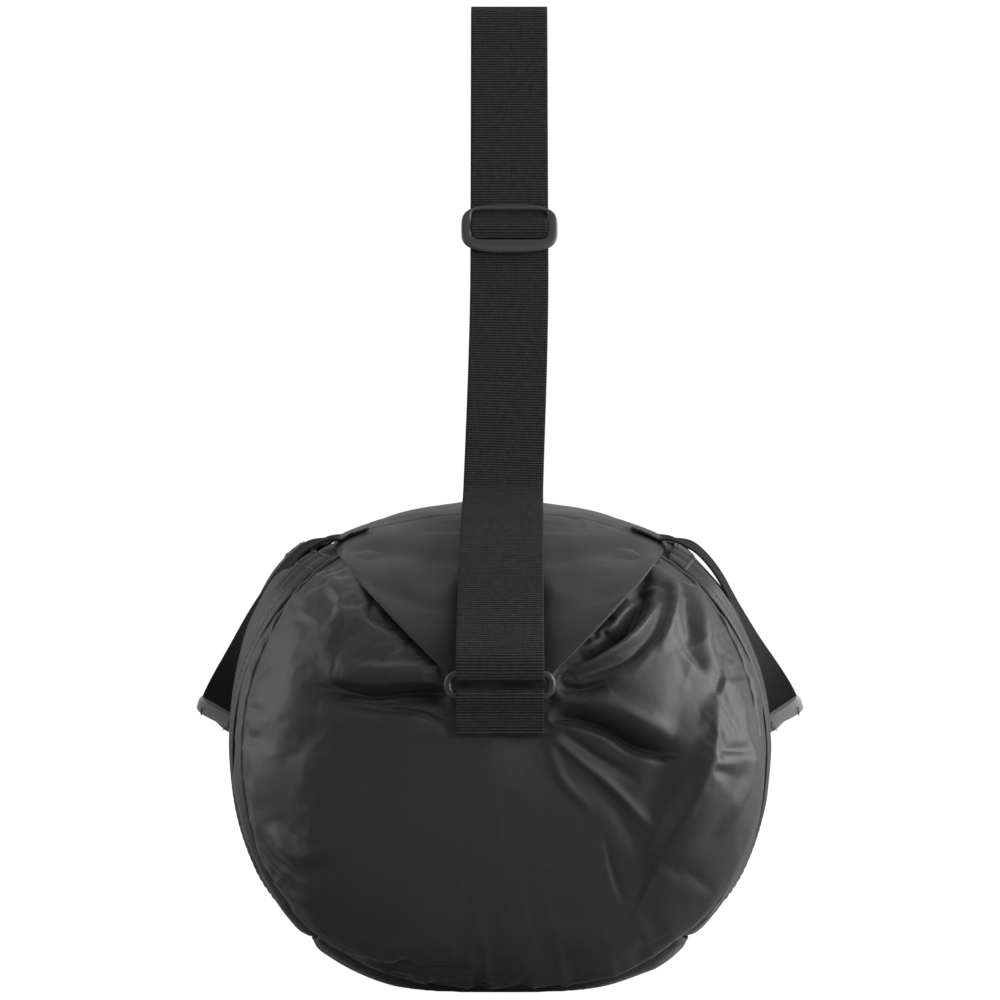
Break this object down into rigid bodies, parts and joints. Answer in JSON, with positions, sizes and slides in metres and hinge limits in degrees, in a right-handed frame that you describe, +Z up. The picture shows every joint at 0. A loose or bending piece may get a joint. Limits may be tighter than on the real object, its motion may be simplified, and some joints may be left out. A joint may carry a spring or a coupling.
{
  "type": "rope storage bag",
  "caption": "Stuffed soft rope bag with domed zip top, side pockets, carry handles and an adjustable shoulder strap ringed to both ends.",
  "frame": {"origin": "on the floor under the middle of the bag, standing on its base", "axes": "+Z up; Y runs along the bag, with the front end at -Y; +X is to the right as seen from the front end"},
  "size_m": [0.3924, 0.521, 0.611],
  "materials": {
    "bag_cloth": "black nylon cloth with a satin sheen, creased",
    "wear_patch": "heavy coated cloth, matt",
    "hem_tape": "folded black hem with one row of stitches",
    "rope_tie": "narrow woven tape",
    "zip_tape": "fine woven tape",
    "zip_coil": "black coil",
    "zip_metal": "black enamel on metal",
    "strap_webbing": "ribbed black webbing",
    "ring_plastic": "moulded black plastic, slightly glossy",
    "adjuster_plastic": "moulded black plastic, satin",
    "handle_webbing": "ribbed black webbing",
    "handle_grip": "grey wrapped and stitched sleeve"
  },
  "bodies": {
    "bag": {"base_panel": "bag_cloth", "base_wear_patch": "wear_patch", "front_end_panel": "bag_cloth", "rear_end_panel": "bag_cloth", "left_side_panel": "bag_cloth", "right_side_panel": "bag_cloth", "left_lid_panel": "bag_cloth", "right_lid_panel": "bag_cloth", "left_pocket_panel": "bag_cloth", "right_pocket_panel": "bag_cloth", "left_pocket_binding": "hem_tape", "right_pocket_binding": "hem_tape", "front_seam_binding": "hem_tape", "rear_seam_binding": "hem_tape", "front_rope_loop": "rope_tie", "rear_rope_loop": "rope_tie", "left_zip_tape": "zip_tape", "right_zip_tape": "zip_tape", "left_zip_teeth": "zip_coil", "right_zip_teeth": "zip_coil", "zip_end_stops": "zip_metal", "front_anchor_web": "strap_webbing", "rear_anchor_web": "strap_webbing", "front_strap_leg": "strap_webbing", "rear_strap_leg": "strap_webbing", "left_handle_tabs": "handle_webbing", "right_handle_tabs": "handle_webbing"},
    "upper_strap": {"strap_loop": "strap_webbing", "strap_return": "strap_webbing"},
    "adjuster": {"strap_adjuster": "adjuster_plastic"},
    "front_ring": {"front_ring": "ring_plastic"},
    "rear_ring": {"rear_ring": "ring_plastic"},
    "left_handle": {"left_handle_web": "handle_webbing", "left_handle_grip": "handle_grip"},
    "right_handle": {"right_handle_web": "handle_webbing", "right_handle_grip": "handle_grip"},
    "front_slider": {"front_zip_slider": "zip_metal"},
    "rear_slider": {"rear_zip_slider": "zip_metal"},
    "front_pull": {"front_pull_tab": "zip_metal"},
    "rear_pull": {"rear_pull_tab": "zip_metal"}
  },
  "joints": [
    {"name": "strap_swing", "type": "hinge", "parent": "bag", "child": "upper_strap", "pos_m": [0, 0, 0.327], "axis": [0, 1, 0], "range_deg": [-85, 85]},
    {"name": "strap_adjust", "type": "slide", "parent": "upper_strap", "child": "adjuster", "axis": [0, -0.2279, -0.9737], "range_m": [0, 0.1], "deforming": ["strap_return"]},
    {"name": "front_ring_swing", "type": "hinge", "parent": "bag", "child": "front_ring", "pos_m": [0, -0.2552, 0.1764], "axis": [1, 0, 0], "range_deg": [-9, 9]},
    {"name": "rear_ring_swing", "type": "hinge", "parent": "bag", "child": "rear_ring", "pos_m": [0, 0.2552, 0.1764], "axis": [-1, 0, 0], "range_deg": [-9, 9]},
    {"name": "left_handle_lift", "type": "hinge", "parent": "bag", "child": "left_handle", "pos_m": [-0.1036, 0, 0.2636], "axis": [0, 1, 0], "range_deg": [0, 112]},
    {"name": "right_handle_lift", "type": "hinge", "parent": "bag", "child": "right_handle", "pos_m": [0.1036, 0, 0.2636], "axis": [0, 1, 0], "range_deg": [-112, 0]},
    {"name": "front_zip_run", "type": "hinge", "parent": "bag", "child": "front_slider", "pos_m": [0, 0, -0.168], "axis": [-1, 0, 0], "range_deg": [-17.5, 0]},
    {"name": "rear_zip_run", "type": "hinge", "parent": "bag", "child": "rear_slider", "pos_m": [0, 0, -0.168], "axis": [1, 0, 0], "range_deg": [-17.5, 0]},
    {"name": "front_pull_flip", "type": "hinge", "parent": "front_slider", "child": "front_pull", "pos_m": [0, -0.00956, 0.2898], "axis": [-1, 0, 0], "range_deg": [0, 90]},
    {"name": "rear_pull_flip", "type": "hinge", "parent": "rear_slider", "child": "rear_pull", "pos_m": [0, 0.00956, 0.2898], "axis": [1, 0, 0], "range_deg": [0, 90]}
  ]
}
